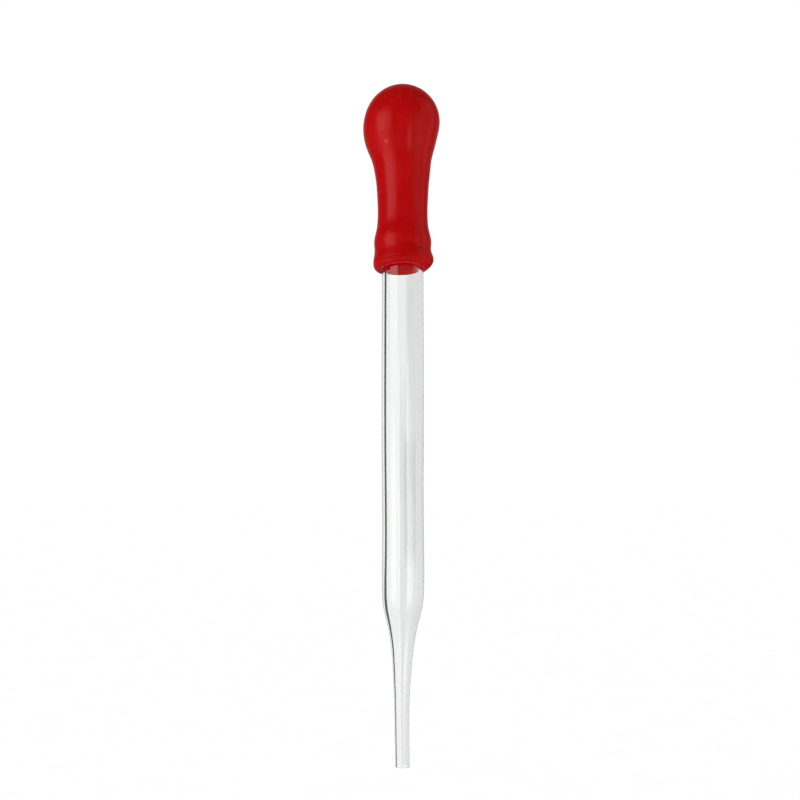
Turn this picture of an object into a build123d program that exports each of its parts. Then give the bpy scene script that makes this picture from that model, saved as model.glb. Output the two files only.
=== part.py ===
from build123d import *
import os

# Medicine dropper: a drawn glass tube with a red rubber bulb pushed over its upper end.
# Millimetres. The origin is the centre of the tube's tip end, and +Z runs up the axis to
# the bulb's crown. Every outline below is a half section in the XZ plane, turned about Z.

# ---- glass tube ----
glass_length = 96.0
glass_radius = 3.8
glass_wall = 0.75
tip_radius = 1.28
tip_bore_radius = 1.0  # drawn glass keeps the barrel's share of wall to width
shank_length = 10.0  # straight slender stretch above the tip
shoulder_height = 29.8  # where the draw-down meets the straight barrel, above the tip
throat_rise = 0.515  # shares of the drop from the barrel to the shank, for the two
throat_swell = 0.26  # points that the draw-down's curve passes through: how far up
cone_rise = 0.785  # each lies, and how much of the growth in radius is done there
cone_swell = 0.66
polish_radius = 0.12  # rounding of the cut edges by the flame

# ---- rubber bulb, heights above its rolled rim ----
bulb_height = 35.0
ball_radius = 7.15
ball_wall = 1.3
neck_wall = 1.34
cuff_wall = 1.45  # over the end of the glass
rim_wall = 1.71  # at the rolled rim
lip_roll = 1.3  # outer radius of the rolled rim
cuff_drop = 2.15  # the cuff's widest level below the end of the glass
waist_drop = 0.8  # the slight waist's level below the cuff
waist_depth = 0.07  # how much narrower the waist is than the cuff
neck_rise = 2.5  # start of the straight neck above the end of the glass
neck_length = 2.9
cuff_ease = 0.4  # share of the height between cuff and neck over which each end curves
ball_taper = 4.5  # how far the ball's side carries on down before it turns in
neck_taper = 8.2  # how far the neck's side carries on up before it flares out

# ---- fit of the bulb on the glass ----
insertion = 7.1  # length of glass inside the bulb
collar_clearance = 0.05  # radial, between the glass and the collar's bore
end_gap = 0.1  # between the end of the glass and the ledge above it
ledge = 0.55  # how far the neck's bore is drawn in above the glass

# ---- squeezed walls, the finger pads on each side of the ball ----
pad_half_width = 3.4
pad_half_height = 4.2
pad_gap = 0.12
pad_reach = 1.2  # length of the cutting column, in ball radii

# ---- derived sizes ----
barrel_bore_radius = glass_radius - glass_wall
bulb_base = glass_length - insertion
ball_centre = bulb_height - ball_radius
ball_bore_radius = ball_radius - ball_wall
collar_bore_radius = glass_radius + collar_clearance
neck_bore_radius = collar_bore_radius - ledge
neck_radius = neck_bore_radius + neck_wall
cuff_radius = collar_bore_radius + cuff_wall
rim_radius = collar_bore_radius + rim_wall
mouth_round = rim_wall - lip_roll
ledge_height = insertion + end_gap
cuff_height = insertion - cuff_drop
waist_height = cuff_height - waist_drop
waist_radius = cuff_radius - waist_depth
neck_base = insertion + neck_rise
neck_top = neck_base + neck_length
cuff_swell = (neck_base - cuff_height) * cuff_ease


def turn(outline):
    """A solid of revolution about Z from a closed half section."""
    section = make_face(Plane.XZ * outline)
    return revolve(section, Axis.Z)


def drawn_outside():
    """Points up the outside of the drawn glass, from the shank to the barrel."""
    growth = glass_radius - tip_radius
    rise = shoulder_height - shank_length
    throat = (tip_radius + throat_swell * growth, shank_length + throat_rise * rise)
    cone = (tip_radius + cone_swell * growth, shank_length + cone_rise * rise)
    return [(tip_radius, shank_length), throat, cone, (glass_radius, shoulder_height)]


def drawn_inside():
    """The same points moved in by the wall, which thins as the tube is drawn down."""
    points = []
    for radius, height in drawn_outside():
        share = (radius - tip_radius) / (glass_radius - tip_radius)
        inner = tip_bore_radius + share * (barrel_bore_radius - tip_bore_radius)
        points.append((inner, height))
    return points


def glass_tube():
    """The tube: straight barrel, drawn shoulder, slender bored tip, polished ends."""
    r = polish_radius
    outside = drawn_outside()
    inside = drawn_inside()
    outline = Line((tip_bore_radius + r, 0), (tip_radius - r, 0))
    outline += RadiusArc((tip_radius - r, 0), (tip_radius, r), -r)
    outline += Line((tip_radius, r), outside[0])
    outline += Spline(*outside, tangents=[(0, 1), (0, 1)])
    outline += Line(outside[-1], (glass_radius, glass_length - r))
    outline += RadiusArc((glass_radius, glass_length - r), (glass_radius - r, glass_length), -r)
    outline += Line((glass_radius - r, glass_length), (barrel_bore_radius + r, glass_length))
    outline += RadiusArc(
        (barrel_bore_radius + r, glass_length), (barrel_bore_radius, glass_length - r), -r
    )
    outline += Line((barrel_bore_radius, glass_length - r), inside[-1])
    outline += Spline(*reversed(inside), tangents=[(0, -1), (0, -1)])
    outline += Line(inside[0], (tip_bore_radius, r))
    outline += RadiusArc((tip_bore_radius, r), (tip_bore_radius + r, 0), -r)
    return turn(outline)


def flare(neck, ball):
    """Side of the bulb from the ball's widest level down to the top of the neck."""
    return Bezier(
        (ball, ball_centre),
        (ball, ball_centre - ball_taper),
        (neck, neck_top + neck_taper),
        (neck, neck_top),
    )


def bulb_shell():
    """The whole bulb as moulded: hollow ball, neck, cuff over the glass, rolled rim."""
    crown = (0, bulb_height)
    inner_crown = (0, bulb_height - ball_wall)
    outline = RadiusArc(crown, (ball_radius, ball_centre), ball_radius)
    outline += flare(neck_radius, ball_radius)
    outline += Line((neck_radius, neck_top), (neck_radius, neck_base))
    outline += Bezier(
        (neck_radius, neck_base),
        (neck_radius, neck_base - cuff_swell),
        (cuff_radius, cuff_height + cuff_swell),
        (cuff_radius, cuff_height),
    )
    outline += Spline(
        (cuff_radius, cuff_height),
        (waist_radius, waist_height),
        (rim_radius, lip_roll),
        tangents=[(0, -1), (0, -1)],
    )
    outline += RadiusArc((rim_radius, lip_roll), (rim_radius - lip_roll, 0), lip_roll)
    outline += RadiusArc(
        (collar_bore_radius + mouth_round, 0), (collar_bore_radius, mouth_round), mouth_round
    )
    outline += Line((collar_bore_radius, mouth_round), (collar_bore_radius, ledge_height))
    outline += Line((collar_bore_radius, ledge_height), (neck_bore_radius, ledge_height + ledge))
    outline += Line((neck_bore_radius, ledge_height + ledge), (neck_bore_radius, neck_top))
    outline += flare(neck_bore_radius, ball_bore_radius)
    outline += RadiusArc(inner_crown, (ball_bore_radius, ball_centre), ball_bore_radius)
    outline += Line(inner_crown, crown)
    return Pos(0, 0, bulb_base) * turn(outline)


def pad_column(spare):
    """Oval column along +X through the ball's side, larger all round by spare."""
    oval = Ellipse(pad_half_width + spare, pad_half_height + spare)
    place = Plane.YZ * Pos(0, bulb_base + ball_centre)
    return extrude(place * oval, ball_radius * pad_reach)


def mirrored(solid):
    """The same shape on the other side of the YZ plane."""
    return mirror(solid, about=Plane.YZ)


shell = bulb_shell()
right_wall = shell & pad_column(0)
right_window = pad_column(pad_gap)

parts = {
    "glass_tube": glass_tube(),
    "rubber_bulb": shell - right_window - mirrored(right_window),
    "squeeze_wall_right": right_wall,
    "squeeze_wall_left": mirrored(right_wall),
}

os.makedirs("parts", exist_ok=True)
for name, part in parts.items():
    part.label = name
    export_step(part, f"parts/{name}.step")
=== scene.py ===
import logging
import math
from dataclasses import dataclass, field
from enum import Enum

import bpy
import numpy as np
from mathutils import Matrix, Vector


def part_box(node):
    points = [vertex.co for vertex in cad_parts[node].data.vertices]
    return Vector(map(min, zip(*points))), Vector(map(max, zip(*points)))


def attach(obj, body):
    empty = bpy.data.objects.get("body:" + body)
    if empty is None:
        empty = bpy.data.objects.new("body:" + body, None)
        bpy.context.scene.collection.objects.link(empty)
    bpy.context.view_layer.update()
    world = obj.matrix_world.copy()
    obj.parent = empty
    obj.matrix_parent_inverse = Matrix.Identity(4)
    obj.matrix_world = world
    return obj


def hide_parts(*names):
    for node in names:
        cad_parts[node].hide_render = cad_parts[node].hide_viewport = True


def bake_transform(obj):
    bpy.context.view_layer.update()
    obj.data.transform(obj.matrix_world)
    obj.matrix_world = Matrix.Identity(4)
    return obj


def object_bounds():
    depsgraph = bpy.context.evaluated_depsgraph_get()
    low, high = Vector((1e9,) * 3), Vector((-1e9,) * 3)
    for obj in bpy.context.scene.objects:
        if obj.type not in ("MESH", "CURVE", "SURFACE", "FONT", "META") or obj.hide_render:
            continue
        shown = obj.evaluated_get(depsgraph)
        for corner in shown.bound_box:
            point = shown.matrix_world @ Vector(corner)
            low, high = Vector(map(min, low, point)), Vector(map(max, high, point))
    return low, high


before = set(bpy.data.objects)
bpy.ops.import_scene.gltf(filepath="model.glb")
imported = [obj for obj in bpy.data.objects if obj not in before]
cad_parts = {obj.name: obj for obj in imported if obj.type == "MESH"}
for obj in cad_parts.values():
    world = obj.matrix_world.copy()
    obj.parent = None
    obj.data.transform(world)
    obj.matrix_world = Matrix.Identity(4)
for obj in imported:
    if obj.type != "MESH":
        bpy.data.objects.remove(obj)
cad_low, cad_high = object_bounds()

log = logging.getLogger("dropper")

Colour = tuple[float, float, float, float]
Spot = tuple[float, float, float]
Wave = tuple[int, float, float]  # waves per turn, phase in radians and size

MM = 0.001
FRONT = -90.0  # the angle about Z, in degrees, that bearings on the bulb are counted from
TUBE_WALLS = 3  # glass surfaces behind light that goes on through the far side of the tube
BLACK: Colour = (0.0, 0.0, 0.0, 1.0)
WHITE: Colour = (1.0, 1.0, 1.0, 1.0)


class Body(Enum):
    """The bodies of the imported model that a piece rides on."""

    GLASS = "glass"
    BULB = "bulb"
    LEFT_WALL = "left_wall"
    RIGHT_WALL = "right_wall"


class Slot(Enum):
    """The record's material slots."""

    CLEAR_GLASS = "clear_glass"
    RED_RUBBER = "red_rubber"


class Side(Enum):
    """Which half of the bulb a skin is: its sign along X and its squeezed wall."""

    LEFT = -1
    RIGHT = 1

    @property
    def wall(self) -> Body:
        """The squeezed wall on this side."""
        return Body.LEFT_WALL if self is Side.LEFT else Body.RIGHT_WALL


class SeenBy(Enum):
    """What a studio card shows up in."""

    GLOSS = "gloss"
    GLOSS_AND_GLASS = "gloss and glass"
    GLASS = "glass"
    GLASS_RIMS = "glass rims"


# ---- shared geometry ----


def smooth_through(knots: np.ndarray, places: np.ndarray, at: np.ndarray) -> np.ndarray:
    """A natural cubic spline, so that curvature has no jumps for a reflection to show.

    Args:
        knots: values to pass through, one row each.
        places: where each knot lies along the curve, rising.
        at: the places wanted.

    Returns:
        The curve's values at those places, one row each.
    """
    step = np.diff(places)
    slope = np.diff(knots, axis=0) / step[:, None]
    size = len(places)
    system = np.eye(size)
    target = np.zeros_like(knots)
    for i in range(1, size - 1):
        system[i, i - 1 : i + 2] = step[i - 1], 2 * (step[i - 1] + step[i]), step[i]
        target[i] = 6 * (slope[i] - slope[i - 1])
    bend = np.linalg.solve(system, target)
    i = np.clip(np.searchsorted(places, at, side="right") - 1, 0, size - 2)
    a = ((places[i + 1] - at) / step[i])[:, None]
    b = 1 - a
    curve = (a**3 - a) * bend[i] + (b**3 - b) * bend[i + 1]
    return a * knots[i] + b * knots[i + 1] + curve * (step[i] ** 2)[:, None] / 6


def chord_places(knots: np.ndarray) -> np.ndarray:
    """Running chord length at each knot of an outline."""
    return np.concatenate([[0.0], np.cumsum(np.linalg.norm(np.diff(knots, axis=0), axis=1))])


def eased(value: np.ndarray) -> np.ndarray:
    """0 below 0, 1 above 1, and a smooth step between."""
    t = np.clip(value, 0.0, 1.0)
    return t * t * (3 - 2 * t)


def bell(value: np.ndarray, centre: float, reach: float) -> np.ndarray:
    """A soft bump of height 1 at centre, gone about two reaches away."""
    return np.exp(-(((value - centre) / reach) ** 2))


def ripple(angle: np.ndarray, waves: tuple[Wave, ...]) -> np.ndarray:
    """Sine waves round an axis, laid over each other."""
    return sum(size * np.sin(count * angle + phase) for count, phase, size in waves)


def grid_normals(grid: np.ndarray, wrap_rows: bool) -> np.ndarray:
    """Unit normals of a grid of points that closes round its columns.

    Args:
        grid: rows x columns x 3.
        wrap_rows: whether the last row also meets the first.

    Returns:
        Normals in the same layout, on the left of the rows' direction.
    """
    around = np.roll(grid, -1, 1) - np.roll(grid, 1, 1)
    along = np.roll(grid, -1, 0) - np.roll(grid, 1, 0)
    if not wrap_rows:
        along[0] = grid[1] - grid[0]
        along[-1] = grid[-1] - grid[-2]
    normals = np.cross(along, around)
    lengths = np.linalg.norm(normals, axis=2, keepdims=True)
    return normals / np.maximum(lengths, np.finfo(float).tiny)


def grid_faces(rows: int, columns: int, closed: bool = False) -> list[tuple[int, ...]]:
    """Joins the points of a grid with four-cornered faces.

    Args:
        rows: how many rows of points.
        columns: how many points in a row.
        closed: whether the last row and column also meet the first.

    Returns:
        Vertex numbers of each face, row by row.
    """
    open_ends = 0 if closed else 1
    faces = []
    for j in range(rows - open_ends):
        here, beyond = j * columns, (j + 1) % rows * columns
        for i in range(columns - open_ends):
            beside = (i + 1) % columns
            faces.append((here + i, here + beside, beyond + beside, beyond + i))
    return faces


def mesh_piece(
    name: str,
    points: np.ndarray,
    faces: list[tuple[int, ...]],
    loop_normals: np.ndarray | None = None,
) -> bpy.types.Object:
    """Makes a smooth-shaded object.

    Args:
        name: the piece's name.
        points: vertices in metres.
        faces: vertex numbers of each face, outward.
        loop_normals: one normal for each face corner, or None for the mesh's own.

    Returns:
        The object, linked to the scene.
    """
    mesh = bpy.data.meshes.new(name)
    mesh.from_pydata(points.tolist(), [], faces)
    mesh.update()
    mesh.shade_smooth()
    if loop_normals is not None:
        mesh.normals_split_custom_set(loop_normals.tolist())
    piece = bpy.data.objects.new(name, mesh)
    bpy.context.collection.objects.link(piece)
    return piece


# ---- shader helpers ----


@dataclass
class Desk:
    """Adds nodes to one node tree and joins them."""

    tree: bpy.types.NodeTree

    def put(self, kind: str, **settings: object) -> bpy.types.Node:
        """Adds a node.

        Args:
            kind: Blender's name for the type of node.
            settings: values of its properties, by name.

        Returns:
            The node.
        """
        node = self.tree.nodes.new(kind)
        for name, value in settings.items():
            setattr(node, name, value)
        return node

    def wire(self, out: bpy.types.NodeSocket, into: bpy.types.NodeSocket) -> None:
        """Joins an output to an input."""
        self.tree.links.new(out, into)

    def feed(self, socket: bpy.types.NodeSocket, value: object) -> None:
        """Sets an input to a plain value, or joins an output to it.

        Args:
            socket: the input.
            value: a plain value or an output.
        """
        if isinstance(value, bpy.types.NodeSocket):
            self.wire(value, socket)
        else:
            socket.default_value = value

    def math(self, operation: str, *values: object, clamp: bool = False) -> bpy.types.NodeSocket:
        """Adds arithmetic.

        Args:
            operation: Blender's name for what it does.
            values: the numbers or outputs that it works on.
            clamp: whether the result stays within 0 and 1.

        Returns:
            The result.
        """
        node = self.put("ShaderNodeMath", operation=operation, use_clamp=clamp)
        for socket, value in zip(node.inputs, values):
            self.feed(socket, value)
        return node.outputs[0]

    def at_least(self, value: bpy.types.NodeSocket, count: int) -> bpy.types.NodeSocket:
        """1 where a whole number is count or more, and 0 elsewhere."""
        return self.math("GREATER_THAN", value, count - 0.5)

    def spread(self, value: object, *ranges: float) -> bpy.types.NodeSocket:
        """Maps a value smoothly from one range to another.

        Args:
            value: the number or output to map.
            ranges: from low, from high, to low and to high.

        Returns:
            The mapped value.
        """
        node = self.put("ShaderNodeMapRange", interpolation_type="SMOOTHSTEP")
        self.feed(node.inputs["Value"], value)
        for socket, limit in zip(("From Min", "From Max", "To Min", "To Max"), ranges):
            node.inputs[socket].default_value = limit
        return node.outputs["Result"]

    def mix(self, share: object, first: object, second: object) -> bpy.types.NodeSocket:
        """Mixes two colours.

        Args:
            share: how much of the second, 0 to 1.
            first: a colour or an output.
            second: a colour or an output.

        Returns:
            The mixed colour.
        """
        node = self.put("ShaderNodeMix", data_type="RGBA")
        self.feed(node.inputs["Factor"], share)
        self.feed(node.inputs["A"], first)
        self.feed(node.inputs["B"], second)
        return node.outputs["Result"]

    def noise(self, place: object, scale: object, detail: float = 2.0) -> bpy.types.NodeSocket:
        """Adds noise.

        Args:
            place: where each point lies.
            scale: lumps in a metre.
            detail: octaves of finer lumps.

        Returns:
            The noise, about 0 to 1.
        """
        node = self.put("ShaderNodeTexNoise")
        self.feed(node.inputs["Vector"], place)
        self.feed(node.inputs["Scale"], scale)
        node.inputs["Detail"].default_value = detail
        return node.outputs["Fac"]

    def group(self, tree: bpy.types.NodeTree, **values: object) -> bpy.types.Node:
        """Places a shared group.

        Args:
            tree: the group.
            values: a value or output for each input, with _ for each space in its name.

        Returns:
            The group's node.
        """
        node = self.put("ShaderNodeGroup", node_tree=tree)
        for name, value in values.items():
            self.feed(node.inputs[name.replace("_", " ")], value)
        return node


def new_group(
    name: str, inputs: tuple[str, ...], outputs: tuple[str, ...]
) -> tuple[bpy.types.NodeTree, bpy.types.Node, bpy.types.Node]:
    """Starts a shader group that takes a Place and some numbers, and puts out numbers.

    Args:
        name: the group's name.
        inputs: names of the numbers it takes.
        outputs: names of the numbers it puts out.

    Returns:
        The group, its input node and its output node.
    """
    tree = bpy.data.node_groups.new(name, "ShaderNodeTree")
    tree.interface.new_socket("Place", in_out="INPUT", socket_type="NodeSocketVector")
    for way, titles in (("INPUT", inputs), ("OUTPUT", outputs)):
        for title in titles:
            tree.interface.new_socket(title, in_out=way, socket_type="NodeSocketFloat")
    return tree, tree.nodes.new("NodeGroupInput"), tree.nodes.new("NodeGroupOutput")


@dataclass(frozen=True)
class Grain:
    """One finish's grain: coarse and fine lumps in a metre, and how much the fine ones count."""

    coarse: float
    fine: float
    fine_share: float


@dataclass(frozen=True)
class Dust:
    """One finish's dust: specks in a metre, and how much they show."""

    specks: float
    amount: float


@dataclass
class SharedEffects:
    """Shader groups that more than one finish places, each built once."""

    mask_edges: tuple[float, float] = (0.35, 0.65)
    speck_edges: tuple[float, float] = (0.1, 0.28)
    patch_edges: tuple[float, float] = (0.5, 0.7)
    patches_per_speck: float = 0.12

    def __post_init__(self) -> None:
        """Builds the groups."""
        self._grain_group = self._build_grain()
        self._dust_group = self._build_dust()

    def grain(self, desk: Desk, place: bpy.types.NodeSocket, look: Grain) -> bpy.types.Node:
        """Places the grain group with a finish's own values.

        Args:
            desk: the finish's node tree.
            place: where each point lies.
            look: the finish's grain.

        Returns:
            The group's node, which puts out a Mask and a Height.
        """
        return desk.group(
            self._grain_group,
            Place=place,
            Coarse_Scale=look.coarse,
            Fine_Scale=look.fine,
            Fine_Share=look.fine_share,
        )

    def dust(self, desk: Desk, place: bpy.types.NodeSocket, look: Dust) -> bpy.types.NodeSocket:
        """Places the dust group with a finish's own values.

        Args:
            desk: the finish's node tree.
            place: where each point lies.
            look: the finish's dust.

        Returns:
            How dusty each point is.
        """
        values = {"Speck_Scale": look.specks, "Amount": look.amount}
        return desk.group(self._dust_group, Place=place, **values).outputs["Mask"]

    def _build_grain(self) -> bpy.types.NodeTree:
        """Makes the group for coarse and fine unevenness of a surface.

        Returns:
            The group, which puts out a mask and a height.
        """
        inputs = ("Coarse Scale", "Fine Scale", "Fine Share")
        tree, given, result = new_group("surface_grain", inputs, ("Mask", "Height"))
        desk = Desk(tree)
        coarse = desk.noise(given.outputs["Place"], given.outputs["Coarse Scale"], 3.0)
        fine = desk.noise(given.outputs["Place"], given.outputs["Fine Scale"], 2.0)
        part = desk.math("MULTIPLY", fine, given.outputs["Fine Share"])
        desk.wire(desk.math("ADD", coarse, part), result.inputs["Height"])
        desk.wire(desk.spread(coarse, *self.mask_edges, 0.0, 1.0), result.inputs["Mask"])
        return tree

    def _build_dust(self) -> bpy.types.NodeTree:
        """Makes the group for scattered specks, gathered in loose patches.

        Returns:
            The group, which puts out a mask.
        """
        tree, given, result = new_group("dust_specks", ("Speck Scale", "Amount"), ("Mask",))
        desk = Desk(tree)
        cells = desk.put("ShaderNodeTexVoronoi")
        desk.wire(given.outputs["Place"], cells.inputs["Vector"])
        desk.wire(given.outputs["Speck Scale"], cells.inputs["Scale"])
        speck = desk.spread(cells.outputs["Distance"], *self.speck_edges, 1.0, 0.0)
        patches = desk.math("MULTIPLY", given.outputs["Speck Scale"], self.patches_per_speck)
        cloud = desk.noise(given.outputs["Place"], patches)
        patch = desk.spread(cloud, *self.patch_edges, 0.0, 1.0)
        some = desk.math("MULTIPLY", speck, patch)
        desk.wire(desk.math("MULTIPLY", some, given.outputs["Amount"]), result.inputs["Mask"])
        return tree


def new_finish(name: str) -> tuple[bpy.types.Material, Desk, bpy.types.Node, bpy.types.NodeSocket]:
    """An empty material.

    Args:
        name: the material's name.

    Returns:
        The material, its desk, its Principled node and the object-space place output.
    """
    material = bpy.data.materials.new(name)
    material.use_nodes = True
    desk = Desk(material.node_tree)
    surface = material.node_tree.nodes["Principled BSDF"]
    place = desk.put("ShaderNodeTexCoord").outputs["Object"]
    return material, desk, surface, place


def stray_share(desk: Desk, path: bpy.types.Node) -> bpy.types.NodeSocket:
    """Picks out mirror rays, and those that go on through the whole tube after a mirror.

    Args:
        desk: the node tree's desk.
        path: its Light Path node.

    Returns:
        1 for such a ray and 0 for any other.
    """
    glossy, through = path.outputs["Is Glossy Ray"], path.outputs["Is Transmission Ray"]
    mirrored = desk.math("SUBTRACT", glossy, through)
    turned = desk.at_least(path.outputs["Glossy Depth"], 1)
    crossed = desk.at_least(path.outputs["Transmission Depth"], TUBE_WALLS)
    return desk.math("MAXIMUM", mirrored, desk.math("MULTIPLY", turned, crossed), clamp=True)


def stretched(desk: Desk, place: bpy.types.NodeSocket, *scale: float) -> bpy.types.NodeSocket:
    """Scales places, for marks longer one way than another.

    Args:
        desk: the node tree's desk.
        place: where each point lies.
        scale: along X, Y and Z.

    Returns:
        The scaled places.
    """
    node = desk.put("ShaderNodeMapping")
    desk.wire(place, node.inputs["Vector"])
    node.inputs["Scale"].default_value = scale
    return node.outputs["Vector"]


def roughen(
    desk: Desk, surface: bpy.types.Node, height: object, depth: float, strength: float
) -> None:
    """Bumps a surface.

    Args:
        desk: the node tree's desk.
        surface: its Principled node.
        height: how high each point is, about 0 to 1.
        depth: how far, in metres, a height of 1 stands proud.
        strength: how much of the bump shows.
    """
    bump = desk.put("ShaderNodeBump")
    bump.inputs["Strength"].default_value = strength
    bump.inputs["Distance"].default_value = depth
    desk.feed(bump.inputs["Height"], height)
    desk.wire(bump.outputs["Normal"], surface.inputs["Normal"])


# ---- finishes ----


@dataclass(frozen=True)
class ClearGlass:
    """Drawn soda-lime tubing: clear, with faint long striae and a little handling haze."""

    tint: Colour = (0.984, 0.993, 0.987, 1.0)
    index: float = 1.5
    haze: float = 0.004
    striae_depth: float = 0.0000006
    striae_strength: float = 0.6
    striae_stretch: float = 0.03
    grain: Grain = Grain(350.0, 1500.0, 0.35)
    dust: Dust = Dust(2600.0, 0.012)

    def material(self, effects: SharedEffects) -> bpy.types.Material:
        """Makes the finish.

        Args:
            effects: the shared shader groups.

        Returns:
            The material.
        """
        material, desk, surface, place = new_finish("clear_glass")
        surface.inputs["Base Color"].default_value = self.tint
        surface.inputs["IOR"].default_value = self.index
        surface.inputs["Transmission Weight"].default_value = 1.0
        surface.inputs["Metallic"].default_value = 0.0
        drawn = stretched(desk, place, 1.0, 1.0, self.striae_stretch)
        grain = effects.grain(desk, drawn, self.grain)
        hazed = desk.math("MULTIPLY", grain.outputs["Mask"], self.haze)
        dusty = desk.math("ADD", hazed, effects.dust(desk, place, self.dust))
        desk.wire(dusty, surface.inputs["Roughness"])
        height = grain.outputs["Height"]
        roughen(desk, surface, height, self.striae_depth, self.striae_strength)
        return material


@dataclass(frozen=True)
class RedRubber:
    """Moulded natural rubber: deep red, satin, with a dusty bloom, a fine grain and a painted red
    glow inside the mouth.
    """

    deep: Colour = (0.308, 0.0, 0.0003, 1.0)
    warm: Colour = (0.325, 0.0, 0.0007, 1.0)
    bloom: Colour = (0.44, 0.06, 0.06, 1.0)
    satin: float = 0.21
    dull: float = 0.28
    shine: float = 0.13
    sheen: float = 0.004
    sheen_spread: float = 0.35
    sheen_tint: Colour = (1.0, 0.82, 0.8, 1.0)
    # colour of the painted glow, an emission on the rubber inside the mouth
    painted_mouth_glow: Colour = (0.31, 0.0, 0.002, 1.0)
    lip_radius: float = 4.25 * MM
    lip_reach: float = 0.3 * MM
    lip_heights: tuple[float, float] = (94.0 * MM, 97.0 * MM)
    grain: Grain = Grain(260.0, 3200.0, 0.25)
    grain_depth: float = 0.03 * MM
    grain_strength: float = 0.5
    dust: Dust = Dust(1900.0, 0.35)
    # small spots paled towards the bloom colour: place, size and strength of each
    pale_spots: tuple[tuple[Spot, float, float], ...] = (
        ((-3.0 * MM, -5.5 * MM, 111.2 * MM), 0.5 * MM, 1.9),
        ((-0.1 * MM, -6.4 * MM, 119.6 * MM), 0.4 * MM, 0.35),
    )

    def _pale_spot_share(
        self, desk: Desk, place: bpy.types.NodeSocket, mask: bpy.types.NodeSocket
    ) -> bpy.types.NodeSocket:
        """Finds the small spots where the colour is paled towards the bloom.

        Args:
            desk: the finish's node tree.
            place: where each point lies.
            mask: the grain, which breaks the spots up.

        Returns:
            How far each point is paled.
        """
        total: object = 0.0
        for spot, size, strength in self.pale_spots:
            away = desk.put("ShaderNodeVectorMath", operation="DISTANCE")
            away.inputs[1].default_value = spot
            desk.wire(place, away.inputs[0])
            near = desk.spread(away.outputs["Value"], 0.0, size, strength, 0.0)
            total = desk.math("ADD", desk.math("MULTIPLY", near, mask), total)
        return total

    def _paint_mouth_glow(self, desk: Desk, place: bpy.types.NodeSocket) -> bpy.types.NodeSocket:
        """Finds the rubber inside the mouth and paints a red glow there as emission: painted light
        that lifts the shaded bore.

        Args:
            desk: the finish's node tree.
            place: where each point lies.

        Returns:
            The painted glow's colour.
        """
        radius = desk.put("ShaderNodeVectorMath", operation="LENGTH")
        desk.wire(stretched(desk, place, 1.0, 1.0, 0.0), radius.inputs[0])
        near = (self.lip_radius - self.lip_reach, self.lip_radius)
        near_bore = desk.spread(radius.outputs["Value"], *near, 1.0, 0.0)
        height = desk.put("ShaderNodeSeparateXYZ")
        desk.wire(place, height.inputs[0])
        low = desk.spread(height.outputs["Z"], *self.lip_heights, 1.0, 0.0)
        return desk.mix(desk.math("MULTIPLY", near_bore, low), BLACK, self.painted_mouth_glow)

    def material(self, effects: SharedEffects) -> bpy.types.Material:
        """Makes the finish.

        Args:
            effects: the shared shader groups.

        Returns:
            The material.
        """
        material, desk, surface, place = new_finish("red_rubber")
        grain = effects.grain(desk, place, self.grain)
        mask = grain.outputs["Mask"]
        body = desk.mix(mask, self.deep, self.warm)
        dusty = desk.mix(effects.dust(desk, place, self.dust), body, self.bloom)
        # pales the colour towards the bloom at a few small spots
        spotted = desk.mix(self._pale_spot_share(desk, place, mask), dusty, self.bloom)
        desk.wire(spotted, surface.inputs["Base Color"])
        worn = desk.math("MULTIPLY", mask, self.dull - self.satin)
        desk.wire(desk.math("ADD", worn, self.satin), surface.inputs["Roughness"])
        surface.inputs["Specular IOR Level"].default_value = self.shine
        surface.inputs["Sheen Weight"].default_value = self.sheen
        surface.inputs["Sheen Roughness"].default_value = self.sheen_spread
        surface.inputs["Sheen Tint"].default_value = self.sheen_tint
        # painted light: a red emission glow on the rubber inside the mouth, which is no lamp
        desk.wire(self._paint_mouth_glow(desk, place), surface.inputs["Emission Color"])
        surface.inputs["Emission Strength"].default_value = 1.0
        height = grain.outputs["Height"]
        roughen(desk, surface, height, self.grain_depth, self.grain_strength)
        return material


@dataclass(frozen=True)
class StudioPaper:
    """Pale paper, lit from below like a light table."""

    milk: Colour = (0.992, 0.992, 0.992, 1.0)
    roughness: float = 0.9
    glow: float = 1.0
    glow_in_gloss: float = 0.05
    glow_on_matt: float = 1.4
    grain: Grain = Grain(40.0, 900.0, 0.5)

    def material(self, effects: SharedEffects) -> bpy.types.Material:
        """Makes the finish.

        Args:
            effects: the shared shader groups.

        Returns:
            The material.
        """
        material, desk, surface, place = new_finish("studio_paper")
        surface.inputs["Base Color"].default_value = BLACK
        surface.inputs["Roughness"].default_value = self.roughness
        surface.inputs["Specular IOR Level"].default_value = 0.0
        mask = effects.grain(desk, place, self.grain).outputs["Mask"]
        desk.wire(desk.mix(mask, self.milk, WHITE), surface.inputs["Emission Color"])
        path = desk.put("ShaderNodeLightPath")
        soft = desk.math("MULTIPLY", path.outputs["Is Diffuse Ray"], self.glow_on_matt - self.glow)
        gloss = desk.math("MULTIPLY", stray_share(desk, path), self.glow_in_gloss - self.glow)
        level = desk.math("ADD", desk.math("ADD", soft, gloss), self.glow)
        desk.wire(level, surface.inputs["Emission Strength"])
        return material


# ---- the glass tube ----


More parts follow.
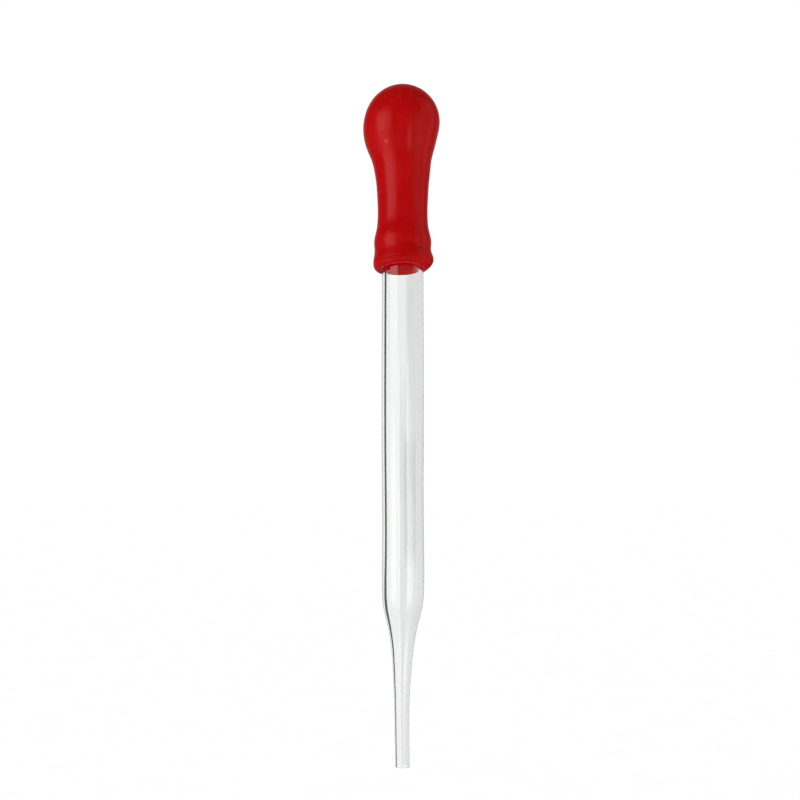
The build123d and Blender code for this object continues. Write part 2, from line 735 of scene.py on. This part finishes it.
@dataclass
class GlassTube:
    """The drawn tube: straight barrel, shoulder, slender shank, fire-polished ends.

    Sizes are in metres and heights are above the tip. Each chipped bite in the tip's end
    has its direction in degrees, its reach in radians and its share of the chip's depth.
    The shoulder's swell fades between two heights, shares of the shoulder's and the tube's.
    """

    wall: float = 0.75 * MM
    tip_bore: float = 0.98 * MM
    tip_radius: float = 1.25 * MM
    tip_flare: float = 0.03 * MM
    shank: tuple[float, float] = (10.4 * MM, 1.33 * MM)
    throat: tuple[float, float] = (15.2 * MM, 1.57 * MM)
    mid_draw: tuple[float, float] = (20.2 * MM, 1.97 * MM)
    cone: tuple[float, float] = (25.0 * MM, 2.86 * MM)
    shoulder_under: tuple[float, float] = (27.5 * MM, 3.47 * MM)
    shoulder_top: float = 30.6 * MM
    shoulder_swell: float = -0.05 * MM
    swell_over: tuple[float, float] = (1.2, 0.6)
    sway: tuple[tuple[float, float], ...] = (
        (0.0, -0.07 * MM),
        (12.0 * MM, -0.17 * MM),
        (21.0 * MM, -0.05 * MM),
        (27.0 * MM, 0.0),
        (33.0 * MM, 0.05 * MM),
        (50.0 * MM, 0.0),
        (70.0 * MM, 0.0),
    )
    polish: float = 0.11 * MM
    ovality: float = 0.012 * MM
    oval_turn: float = 0.7
    wave: float = 0.008 * MM
    wave_length: float = 7.3 * MM
    wave_slant: float = 1.3
    chip: float = 0.14 * MM
    chip_reach: float = 0.9 * MM
    chip_roughness: float = 0.18
    chip_waves: tuple[Wave, ...] = ((3, 0.4, 0.5), (7, 1.9, 0.3))
    bites: tuple[tuple[float, float, float], ...] = ((288.0, 0.32, 1.0), (236.0, 0.2, 0.7))
    around: int = 224
    rows_outside: int = 300
    rows_inside: int = 170
    rows_in_edge: int = 5
    crowding: float = 1.35
    low: Vector = field(default_factory=lambda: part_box("glass_tube")[0])
    high: Vector = field(default_factory=lambda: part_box("glass_tube")[1])

    @property
    def radius(self) -> float:
        """The barrel's outer radius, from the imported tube."""
        return (self.high.x - self.low.x) / 2

    def _levels(self, rows: int) -> np.ndarray:
        """Heights from tip to top, close together where the tube is drawn down."""
        even = np.linspace(0.0, 1.0, rows)
        return self.polish + (self.high.z - 2 * self.polish) * even**self.crowding

    def _outside(self, heights: np.ndarray) -> np.ndarray:
        """Draws the outside.

        Args:
            heights: the heights wanted.

        Returns:
            Outer radius at each height.
        """
        full = self.radius + self.shoulder_swell
        swell_top, barrel_start = self.swell_over
        knots = [
            (0.0, self.tip_radius),
            (self.shank[0] / 2, self.tip_radius + self.tip_flare),
            self.shank,
            self.throat,
            self.mid_draw,
            self.cone,
            self.shoulder_under,
            (self.shoulder_top, full),
            (self.shoulder_top * swell_top, full),
            (self.high.z * barrel_start, self.radius),
            (self.high.z, self.radius),
        ]
        places, radii = np.array(knots).T
        return smooth_through(radii[:, None], places, heights)[:, 0]

    def _inside(self, heights: np.ndarray) -> np.ndarray:
        """Draws the bore: the wall thins as the tube is drawn down.

        Args:
            heights: the heights wanted.

        Returns:
            Bore radius at each height.
        """
        outside = self._outside(heights)
        drawn = (outside - self.tip_radius) / (self.radius - self.tip_radius)
        wall = self.tip_radius - self.tip_bore
        return outside - wall - np.clip(drawn, 0, 1) * (self.wall - wall)

    def _edge(self, start: np.ndarray, inward: int, upward: int) -> np.ndarray:
        """Rounds one edge of an end, as the flame leaves it.

        Args:
            start: radius and height where the wall stops.
            inward: 1 where the edge turns away from the axis, and -1 towards it.
            upward: 1 at the top end, and -1 at the tip.

        Returns:
            Points from the wall to the end's face.
        """
        turn = np.linspace(0.0, math.pi / 2, self.rows_in_edge + 2)[1:-1]
        across = start[0] + inward * self.polish * (1 - np.cos(turn))
        return np.stack([across, start[1] + upward * self.polish * np.sin(turn)], 1)

    def _outline(self) -> np.ndarray:
        """Draws the half section: up the outside, over the end, down the bore.

        Returns:
            Radius and height of each point of a closed loop.
        """
        up = self._levels(self.rows_outside)
        down = self._levels(self.rows_inside)[::-1]
        outer = np.stack([self._outside(up), up], 1)
        inner = np.stack([self._inside(down), down], 1)
        top = [self._edge(outer[-1], -1, 1), self._edge(inner[0], 1, 1)[::-1]]
        tip = [self._edge(inner[-1], 1, -1), self._edge(outer[0], -1, -1)[::-1]]
        return np.concatenate([outer, *top, inner, *tip])

    def _grid(self) -> np.ndarray:
        """Turns the outline about the axis, with the small unevenness of drawn glass.

        Returns:
            Points of the whole tube, rows x columns x 3.
        """
        outline = self._outline()
        angle = np.linspace(0, 2 * math.pi, self.around, endpoint=False)[None, :]
        r, z = outline[:, :1], outline[:, 1:]
        size = r / self.radius
        r = r + size * self.ovality * np.cos(2 * angle + self.oval_turn)
        slant = self.wave_slant * np.sin(angle)
        r = r + size * self.wave * np.sin(z / self.wave_length + slant)
        places, sideways = np.array(self.sway).T
        lean = smooth_through(sideways[:, None], places, np.clip(z[:, 0], 0.0, places[-1]))
        z = np.broadcast_to(z, r.shape)
        near_tip = eased(1 - z / self.chip_reach)
        uneven = self.chip_roughness * (ripple(angle, self.chip_waves) + 1.0)
        for bearing, reach, share in self.bites:
            uneven = uneven + share * bell(angle, math.radians(bearing), reach)
        z = z + near_tip * self.chip * uneven
        return np.stack([r * np.cos(angle) + lean, r * np.sin(angle), z], 2)

    def build(self, finish: bpy.types.Material) -> bpy.types.Object:
        """Makes the tube, dresses it and puts it on its body.

        Args:
            finish: the glass material.

        Returns:
            The piece.
        """
        grid = self._grid()
        faces = grid_faces(*grid.shape[:2], closed=True)
        piece = mesh_piece("glass_dropper_tube", grid.reshape(-1, 3), faces)
        piece.data.materials.append(finish)
        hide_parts("glass_tube")
        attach(piece, Body.GLASS.value)
        return piece


# ---- the rubber bulb ----


@dataclass(frozen=True)
class Fold:
    """A crease or ridge in the skin, along a line between two places on it.

    Bearings are in degrees from the front, positive to the right; heights, swell and
    width are in millimetres. A negative swell is a crease, and fade is the share of the
    length over which each end dies away.
    """

    bearing: tuple[float, float]
    height: tuple[float, float]
    swell: float
    width: float
    fade: float = 0.3

    def lift(self, bearing: np.ndarray, height: np.ndarray, radius: float) -> np.ndarray:
        """How far the fold moves the skin out, in metres.

        Args:
            bearing: degrees from the front of each point.
            height: metres above the rim of each point.
            radius: the radius that turns degrees into distance.

        Returns:
            The outward move of each point.
        """
        scale = math.radians(radius / MM)
        away = (bearing - self.bearing[0] + 180) % 360 - 180
        x, y = away * scale, height / MM - self.height[0]
        run = (self.bearing[1] - self.bearing[0]) * scale
        rise = self.height[1] - self.height[0]
        length = math.hypot(run, rise)
        along = (x * run + y * rise) / length
        across = (x * rise - y * run) / length
        end = self.fade * length
        lasting = eased(along / end) * eased((length - along) / end)
        return self.swell * MM * bell(across, 0.0, self.width) * lasting


@dataclass
class RubberBulb:
    """The bulb's skin: hollow ball, neck, cuff over the glass and rolled rim.

    It is one double-walled skin, cut where it meets the plane between the two squeezed walls.
    Sizes are in metres and heights are above the rim, apart from those in levels and folds, which
    are in millimetres.
    """

    ball_radius: float = 7.15 * MM
    ball_wall: float = 1.3 * MM
    neck_bore: float = 3.3 * MM
    collar_bore: float = 3.85 * MM
    ledge: tuple[float, float] = (7.2 * MM, 7.75 * MM)
    mouth_edge: float = 0.55 * MM
    throat_top: float = 12.5 * MM
    flare_power: float = 1.1
    even_below: float = 1.3 * MM
    cuff_top: float = 7.5 * MM
    cuff_waves: tuple[Wave, ...] = ((3, 0.8, 1.0), (5, 2.2, 0.6))
    cuff_waver: float = 0.035 * MM
    fold_radius: float = 5.3 * MM
    rim_tilt: float = 0.07
    rim_swell: float = 0.1 * MM
    rim_height: float = 1.6 * MM
    rim_reach: float = 1.2 * MM
    front_lift: float = 0.35 * MM
    lift_top: float = 2.4 * MM
    lift_bearing: tuple[float, float] = (4.0, 42.0)
    belly: float = 0.42 * MM
    belly_height: float = 24.4 * MM
    belly_reach: float = 4.2 * MM
    belly_fade: float = 3.0 * MM
    seam: float = 0.03 * MM
    seam_reach: float = 0.0006
    seam_start: float = 2.5 * MM
    seam_fade: float = 2.0 * MM
    around: int = 288
    fine_length: float = 11.0 * MM
    outer_rows: tuple[int, int] = (120, 100)
    inner_rows: tuple[int, int, int, int] = (12, 6, 16, 14)
    ball_step: int = 15
    bend_tilt: float = math.radians(9.4)
    bend_start: float = 5.75 * MM
    low: Vector = field(default_factory=lambda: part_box("rubber_bulb")[0])
    high: Vector = field(default_factory=lambda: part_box("rubber_bulb")[1])
    levels: tuple[tuple[float, float], ...] = (
        (3.92, 0.3),
        (4.08, 0.06),
        (4.36, 0.0),
        (5.02, 0.3),
        (5.5, 0.95),
        (5.6, 1.6),
        (5.44, 2.5),
        (5.22, 3.8),
        (5.29, 4.9),
        (5.15, 6.3),
        (4.83, 7.7),
        (4.68, 9.0),
        (4.63, 11.3),
        (4.72, 13.7),
        (4.90, 16.4),
        (5.19, 18.7),
        (5.61, 21.0),
        (6.36, 23.3),
        (6.90, 25.5),
    )
    folds: tuple[Fold, ...] = (
        Fold((-66, 14), (1.95, 1.45), 0.09, 0.14),
        Fold((-60, 22), (1.55, 1.1), -0.13, 0.13),
        Fold((-54, 30), (1.15, 0.8), 0.10, 0.12),
        Fold((-44, 34), (0.85, 0.5), -0.09, 0.11),
        Fold((-6, 52), (1.5, 1.0), 0.07, 0.13),
        Fold((2, 50), (1.2, 0.6), -0.08, 0.12),
        Fold((16, 60), (2.75, 1.05), -0.12, 0.15),
        Fold((22, 68), (3.2, 1.5), 0.11, 0.16),
        Fold((26, 66), (3.6, 2.2), -0.09, 0.14),
        Fold((30, 72), (2.2, 0.8), 0.10, 0.14),
        Fold((38, 70), (1.7, 0.6), -0.10, 0.13),
        Fold((-72, -30), (2.9, 3.2), -0.06, 0.2),
        Fold((82, 140), (2.6, 2.1), -0.10, 0.18),
        Fold((96, 170), (1.6, 2.2), 0.09, 0.2),
        Fold((150, 215), (2.5, 1.7), -0.09, 0.18),
        Fold((186, 250), (1.5, 1.9), 0.08, 0.16),
        Fold((225, 275), (2.9, 2.3), -0.08, 0.2),
        Fold((118, 160), (3.7, 3.1), -0.06, 0.16),
    )

    @property
    def base(self) -> float:
        """Height of the rim above the tip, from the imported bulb."""
        return self.low.z

    @property
    def tall(self) -> float:
        """The bulb's height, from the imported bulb."""
        return self.high.z - self.low.z

    @property
    def ball_height(self) -> float:
        """Height of the ball's middle above the rim."""
        return self.tall - self.ball_radius

    def _outer(self) -> np.ndarray:
        """Draws the outside, from the crown down to the mouth.

        Returns:
            Radius and height of each point.
        """
        turn = np.radians(np.arange(0, 90 + self.ball_step, self.ball_step))
        ball = np.stack([np.cos(turn), np.sin(turn)], 1) * self.ball_radius
        ball[:, 1] += self.ball_height
        knots = np.concatenate([np.array(self.levels) * MM, ball])
        places = chord_places(knots)
        fine, coarse = self.outer_rows
        near = np.linspace(0.0, self.fine_length, fine, endpoint=False)
        far = np.linspace(self.fine_length, places[-1], coarse)
        return smooth_through(knots, places, np.concatenate([near, far]))[::-1]

    def _inner(self) -> np.ndarray:
        """Draws the inside: up the collar's bore, past the ledge and round the hollow ball.

        Returns:
            Radius and height of each point.
        """
        hollow = self.ball_radius - self.ball_wall
        in_bore, in_neck, in_flare, in_ball = self.inner_rows
        bore = np.linspace(self.mouth_edge, self.ledge[0], in_bore)
        neck = np.linspace(self.ledge[1], self.throat_top, in_neck)
        rise = np.linspace(0.0, 1.0, in_flare)[1:]
        widen = self.neck_bore + (hollow - self.neck_bore) * eased(rise) ** self.flare_power
        flare = self.throat_top + (self.ball_height - self.throat_top) * rise
        turn = np.radians(np.linspace(0, 90, in_ball)[1:])
        parts = (
            (np.full_like(bore, self.collar_bore), bore),
            (np.full_like(neck, self.neck_bore), neck),
            (widen, flare),
            (hollow * np.cos(turn), self.ball_height + hollow * np.sin(turn)),
        )
        return np.concatenate([np.stack(part, 1) for part in parts])

    def _shaped(self, outline: np.ndarray) -> np.ndarray:
        """Turns an outline about the axis, with the real bulb's unevenness and folds.

        Args:
            outline: radius and height of each point.

        Returns:
            Points of the whole skin, rows x columns x 3.
        """
        angle = np.linspace(0, 360, self.around, endpoint=False)[None, :] + FRONT
        turn = np.radians(angle)
        bearing = (angle - FRONT + 180) % 360 - 180
        r = np.repeat(outline[:, :1], self.around, 1)
        h = np.repeat(outline[:, 1:], self.around, 1)
        side = np.cos(turn)
        outward = eased((r - self.collar_bore) / self.even_below)
        in_cuff = 1 - eased(h / self.cuff_top)
        in_belly = bell(h, self.belly_height, self.belly_reach) * eased(r / self.belly_fade)
        r = r - self.belly * side * in_belly
        r = r + self.rim_swell * side * bell(h, self.rim_height, self.rim_reach) * outward
        for fold in self.folds:
            r = r + fold.lift(bearing, h, self.fold_radius) * outward
        r = r + self.cuff_waver * ripple(turn, self.cuff_waves) * in_cuff * outward
        parting = bell(side, 1.0, self.seam_reach) + bell(side, -1.0, self.seam_reach)
        above_rim = eased((h - self.seam_start) / self.seam_fade)
        r = r + self.seam * parting * outward * above_rim
        h = h + self.rim_tilt * r * side * in_cuff * outward
        low_front = bell(bearing, *self.lift_bearing) * (1 - eased(h / self.lift_top))
        h = h + self.front_lift * low_front
        return np.stack([r * side, r * np.sin(turn), self.base + h], 2)

    def _skin(self) -> tuple[np.ndarray, np.ndarray]:
        """Makes the whole double-walled skin, crown to crown.

        Returns:
            Its grid of points, and their normals.
        """
        outline = np.concatenate([self._outer()[1:], self._inner()[:-1]])
        grid = self._shaped(outline)
        return grid, grid_normals(grid, wrap_rows=False)

    def _half(
        self, side: Side, grid: np.ndarray, normals: np.ndarray, outer_rows: int
    ) -> bpy.types.Object:
        """One half of the skin, closed where it is cut.

        Args:
            side: which half.
            grid: the whole skin.
            normals: its normals, so that the two halves meet without a seam.
            outer_rows: how many rows of the grid are on the outside.

        Returns:
            The half as an object.
        """
        half = self.around // 2
        first = 0 if side is Side.RIGHT else half
        columns = [(first + i) % self.around for i in range(half + 1)]
        rows, count = grid.shape[0], half + 1
        crown = np.array([[0, 0, self.high.z], [0, 0, self.high.z - self.ball_wall]])
        points = np.concatenate([grid[:, columns].reshape(-1, 3), crown])
        smooth = np.concatenate([normals[:, columns].reshape(-1, 3), [[0, 0, 1], [0, 0, -1]]])
        top, under = rows * count, rows * count + 1
        faces = [(face[0], *face[:0:-1]) for face in grid_faces(rows, count)]
        last_row = (rows - 1) * count
        for i in range(half):
            faces.append((top, i, i + 1))
            faces.append((last_row + i, under, last_row + i + 1))
        skinned = len(faces)
        for column, flip in ((0, True), (half, False)):
            outside = [top] + [j * count + column for j in range(outer_rows)]
            inside = [under] + [j * count + column for j in range(rows - 1, outer_rows - 1, -1)]
            for face in zipped(points, outside, inside):
                faces.append(face[::-1] if flip else face)
        corners = [smooth[v] for face in faces[:skinned] for v in face]
        cut = (-float(side.value), 0.0, 0.0)
        corners += [cut for face in faces[skinned:] for _ in face]
        return mesh_piece(f"bulb_skin_{side.name.lower()}", points, faces, np.array(corners))

    def build(self, finish: bpy.types.Material) -> list[bpy.types.Object]:
        """Makes both halves and dresses them.

        Args:
            finish: the rubber material.

        Returns:
            The two halves.
        """
        grid, normals = self._skin()
        outer_rows = len(self._outer()) - 1
        halves = []
        for side in Side:
            piece = self._half(side, grid, normals, outer_rows)
            piece.data.materials.append(finish)
            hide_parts("rubber_bulb", f"squeeze_wall_{side.name.lower()}")
            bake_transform(piece)
            halves.append(piece)
        return halves


def zipped(points: np.ndarray, one: list[int], other: list[int]) -> list[tuple[int, int, int]]:
    """Triangles that fill the strip between two chains of vertices.

    Args:
        points: vertices.
        one: vertex numbers along the first chain.
        other: vertex numbers along the second, the same way on.

    Returns:
        Triangles, always advancing along the chain that keeps them shortest.
    """
    faces = []
    i = j = 0
    while i < len(one) - 1 or j < len(other) - 1:
        step_one = step_other = math.inf
        if i < len(one) - 1:
            step_one = np.linalg.norm(points[one[i + 1]] - points[other[j]])
        if j < len(other) - 1:
            step_other = np.linalg.norm(points[other[j + 1]] - points[one[i]])
        if step_one <= step_other:
            faces.append((one[i], one[i + 1], other[j]))
            i += 1
        else:
            faces.append((one[i], other[j + 1], other[j]))
            j += 1
    return faces


# ---- the studio ----


@dataclass(frozen=True)
class Card:
    """A curved panel round the object, bright or dark, that the camera doesn't see.

    Bearings are in degrees from straight behind the object, positive to the right.
    """

    name: str
    bearing: tuple[float, float]
    elevation: tuple[float, float]
    glow: float
    seen_by: SeenBy
    distance: float = 0.28
    soft_sides: float = 0.16
    soft_ends: float = 0.16
    columns: int = 25
    rows: int = 13

    def _finish(self) -> bpy.types.Material:
        """Makes the card's glow, kept to rays that only skirt a glass wall if it is for rims.

        Returns:
            The material.
        """
        material = bpy.data.materials.new(self.name)
        material.use_nodes = True
        desk = Desk(material.node_tree)
        material.node_tree.nodes.remove(material.node_tree.nodes["Principled BSDF"])
        output = material.node_tree.nodes["Material Output"]
        light = desk.put("ShaderNodeEmission")
        light.inputs["Strength"].default_value = self.glow
        share = desk.put("ShaderNodeAttribute", attribute_name="fade").outputs["Fac"]
        if self.seen_by is SeenBy.GLASS_RIMS:
            path = desk.put("ShaderNodeLightPath")
            crossed = path.outputs["Transmission Depth"]
            skirting = desk.math("LESS_THAN", crossed, float(TUBE_WALLS))
            share = desk.math("MULTIPLY", share, skirting)
        choice = desk.put("ShaderNodeMixShader")
        desk.wire(share, choice.inputs[0])
        desk.wire(desk.put("ShaderNodeBsdfTransparent").outputs[0], choice.inputs[1])
        desk.wire(light.outputs[0], choice.inputs[2])
        desk.wire(choice.outputs[0], output.inputs["Surface"])
        return material

    def build(self, centre: Vector) -> None:
        """Makes the card.

        Args:
            centre: the place that it curves round.
        """
        across = np.radians(np.linspace(*self.bearing, self.columns))
        up = np.radians(np.linspace(*self.elevation, self.rows))
        bearing, elevation = np.meshgrid(across, up)
        level = np.cos(elevation)
        way = np.stack([np.sin(bearing) * level, np.cos(bearing) * level, np.sin(elevation)], 2)
        points = np.array(centre) + self.distance * way.reshape(-1, 3)
        card = mesh_piece(self.name, points, grid_faces(self.rows, self.columns))
        fade = card.data.attributes.new("fade", "FLOAT", "POINT")
        shares = (np.linspace(0, 1, count) for count in (self.columns, self.rows))
        sideways, upright = np.meshgrid(*shares)
        sides = eased(np.minimum(sideways, 1 - sideways) / self.soft_sides)
        ends = eased(np.minimum(upright, 1 - upright) / self.soft_ends)
        fade.data.foreach_set("value", (sides * ends).ravel().astype(np.float32))
        card.data.materials.append(self._finish())
        card.visible_camera = False
        card.visible_diffuse = False
        card.visible_shadow = False
        card.visible_glossy = self.seen_by in (SeenBy.GLOSS, SeenBy.GLOSS_AND_GLASS)
        card.visible_transmission = self.seen_by is not SeenBy.GLOSS


@dataclass(frozen=True)
class Lamp:
    """A soft square lamp that only lights matt surfaces, in metres and watts."""

    name: str
    place: Spot
    size: float
    power: float

    def build(self, aim: Vector) -> None:
        """Makes the lamp.

        Args:
            aim: the place that it points at.
        """
        data = bpy.data.lights.new(self.name, "AREA")
        data.size = self.size
        data.energy = self.power
        lamp = bpy.data.objects.new(self.name, data)
        lamp.location = self.place
        lamp.rotation_euler = (aim - Vector(self.place)).to_track_quat("-Z", "Y").to_euler()
        lamp.visible_camera = False
        lamp.visible_glossy = False
        lamp.visible_transmission = False
        bpy.context.collection.objects.link(lamp)


@dataclass
class Studio:
    """White surround, pale floor, soft lights and the camera.

    Lens and sensor are in millimetres, and the other sizes in metres.
    """

    floor_drop: float = 0.12
    floor_half: float = 3.0
    lens: float = 34.56
    sensor: float = 36.0
    nearest: float = 0.005
    camera_place: tuple[float, float, float] = (-0.0005, -0.140, 0.0532)
    camera_pitch: float = math.radians(4.7)
    gloss_world: float = 0.03
    diffuse_world: float = 0.55
    front_shade: float = 0.7
    front_edges: tuple[float, float] = (-0.3, 0.1)
    lamps: tuple[Lamp, ...] = (
        Lamp("key_left", (-0.5, -0.3, 0.22), 0.35, 2.2),
        Lamp("matt_fill_right", (0.45, -0.3, 0.1), 0.3, 0.6),
    )
    cards: tuple[Card, ...] = (
        Card("backdrop_sheen", (-62, 62), (-24, 84), 0.22, SeenBy.GLOSS, 0.4, 0.3, 0.3),
        Card("flag_right", (6, 72), (-42, 20), 0.02, SeenBy.GLOSS, 0.3, 0.25, 0.25),
        Card(
            "soft_box_low", (-154, -93), (-36, 16), 2.25, SeenBy.GLOSS_AND_GLASS, 0.28, 0.42, 0.46
        ),
        Card("soft_box_high", (-154, -104), (0, 40), 2.2, SeenBy.GLOSS, 0.285, 0.12, 0.35),
        Card("fill_right", (62, 128), (-38, 62), 0.5, SeenBy.GLOSS),
        Card("strip_right", (146, 158), (-38, 13), 2.4, SeenBy.GLOSS_AND_GLASS, 0.28, 0.12),
        Card("shade_pale", (-3.2, 52), (-42, 9), 0.88, SeenBy.GLASS, 0.33, 0.05),
        Card("shade_right", (1.4, 54), (-14, 70), 0.83, SeenBy.GLASS, 0.32, 0.03, 0.05),
        Card("shade_core", (0.3, 14), (-13, 2), 0.74, SeenBy.GLASS, 0.31, 0.1),
        Card("rim_card_left", (-63, -37), (-42, 60), 0.05, SeenBy.GLASS_RIMS, 0.25, 0.04),
        Card("rim_card_low", (-58, -30), (-42, -13), 0.05, SeenBy.GLASS_RIMS, 0.24, 0.06),
        Card("rim_card_right", (32, 64), (-42, 60), 0.78, SeenBy.GLASS_RIMS, 0.25),
    )

    def _surround(self) -> None:
        """White for the camera and through glass, dimmer for gloss and for soft light."""
        world = bpy.data.worlds.new("white_surround")
        bpy.context.scene.world = world
        world.use_nodes = True
        desk = Desk(world.node_tree)
        path = desk.put("ShaderNodeLightPath")
        towards = desk.put("ShaderNodeSeparateXYZ")
        desk.wire(desk.put("ShaderNodeTexCoord").outputs["Generated"], towards.inputs[0])
        front = desk.spread(towards.outputs["Y"], *self.front_edges, self.front_shade, 0.0)
        turned = desk.at_least(path.outputs["Glossy Depth"], 1)
        front = desk.math("MULTIPLY", front, turned)
        gloss = desk.math("MAXIMUM", stray_share(desk, path), front)
        gloss = desk.math("MULTIPLY", gloss, 1 - self.gloss_world)
        soft = desk.math("MULTIPLY", path.outputs["Is Diffuse Ray"], 1 - self.diffuse_world)
        level = desk.math("SUBTRACT", desk.math("SUBTRACT", 1.0, gloss), soft)
        background = world.node_tree.nodes["Background"]
        background.inputs["Color"].default_value = WHITE
        desk.wire(level, background.inputs["Strength"])

    def _floor(self, finish: bpy.types.Material) -> None:
        """Makes the pale floor, a little below the tip.

        Args:
            finish: the floor's material.
        """
        half, z = self.floor_half, cad_low.z - self.floor_drop
        corners = [(-half, -half, z), (half, -half, z), (half, half, z), (-half, half, z)]
        floor = mesh_piece("studio_floor", np.array(corners), [(0, 1, 2, 3)])
        floor.data.materials.append(finish)

    def _camera(self) -> None:
        """Makes the camera, level with the middle of the tube and tilted slightly up."""
        data = bpy.data.cameras.new("camera")
        data.lens = self.lens
        data.sensor_width = self.sensor
        data.clip_start = self.nearest
        camera = bpy.data.objects.new("camera", data)
        camera.location = self.camera_place
        camera.rotation_euler = (math.pi / 2 + self.camera_pitch, 0, 0)
        bpy.context.collection.objects.link(camera)
        bpy.context.scene.camera = camera

    def build(self, finish: bpy.types.Material) -> None:
        """Sets up the whole studio.

        Args:
            finish: the floor's material.
        """
        middle = (cad_low + cad_high) / 2
        self._surround()
        self._floor(finish)
        for fitting in (*self.cards, *self.lamps):
            fitting.build(middle)
        self._camera()
        bpy.context.scene.view_settings.view_transform = "Standard"


def main() -> None:
    """Builds the dropper and its studio, and reports each piece."""
    logging.basicConfig(level=logging.INFO, format="%(name)s: %(message)s")
    effects = SharedEffects()
    Studio().build(StudioPaper().material(effects))
    pieces = [GlassTube().build(ClearGlass().material(effects))]
    pieces += RubberBulb().build(RedRubber().material(effects))
    for piece in pieces:
        log.info("%s: %d vertices", piece.name, len(piece.data.vertices))


if __name__ == "__main__":
    main()
